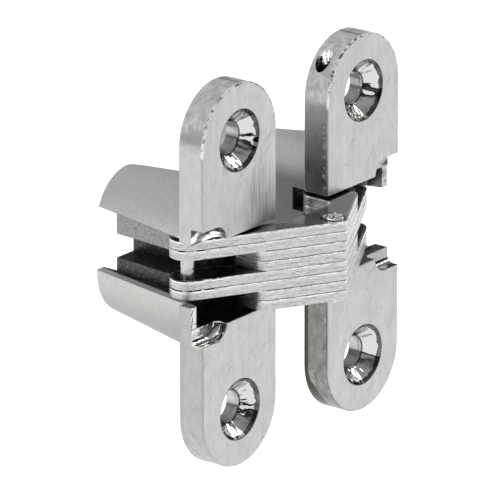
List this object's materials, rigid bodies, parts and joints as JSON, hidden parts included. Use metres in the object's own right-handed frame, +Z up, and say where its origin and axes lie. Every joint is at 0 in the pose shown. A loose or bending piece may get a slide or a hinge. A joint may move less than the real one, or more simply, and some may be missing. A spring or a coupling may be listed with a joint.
{
  "type": "concealed door hinge",
  "caption": "Concealed mortise hinge: two round-ended cast leaves joined by interleaved dog-leg links that scissor on a riveted centre pin and slide into the leaves as the door closes.",
  "frame": {"origin": "on the seat plane of the left leaf (the back of its plate), midway between its two screw holes, hinge fully open", "axes": "+X from the left leaf to the right leaf, +Y into the door edge, +Z up along the pins"},
  "size_m": [0.0343, 0.0233, 0.0428],
  "materials": {
    "cast_plate": "satin-plated zinc casting, brushed face",
    "link_steel": "stamped plated steel",
    "pin_steel": "bright"
  },
  "bodies": {
    "left_leaf": {"left_leaf": "cast_plate", "left_pivot_pin": "pin_steel"},
    "right_links": {"right_link_1": "link_steel", "right_link_2": "link_steel", "right_link_3": "link_steel", "right_link_4": "link_steel", "right_slide_pin": "pin_steel"},
    "left_links": {"left_link_1": "link_steel", "left_link_2": "link_steel", "left_link_3": "link_steel", "left_link_4": "link_steel", "left_slide_pin": "pin_steel", "centre_pin": "pin_steel"},
    "right_leaf": {"right_leaf": "cast_plate", "right_pivot_pin": "pin_steel"}
  },
  "joints": [
    {"name": "left_pivot", "type": "hinge", "parent": "left_leaf", "child": "right_links", "pos_m": [0.0046, -0.00135, 0], "axis": [0, 0, -1], "range_deg": [0, 122.16]},
    {"name": "scissor", "type": "hinge", "parent": "right_links", "child": "left_links", "pos_m": [0.01082, -0.0074, 0], "axis": [0, 0, 1], "range_deg": [0, 64.32]},
    {"name": "right_pivot", "type": "hinge", "parent": "left_links", "child": "right_leaf", "pos_m": [0.01705, -0.00135, 0], "axis": [0, 0, -1], "range_deg": [0, 122.16]}
  ],
  "couplings": [
    {"joint": "scissor", "follows": "left_pivot", "ratio": 0.52648},
    {"joint": "right_pivot", "follows": "left_pivot", "ratio": 1}
  ]
}
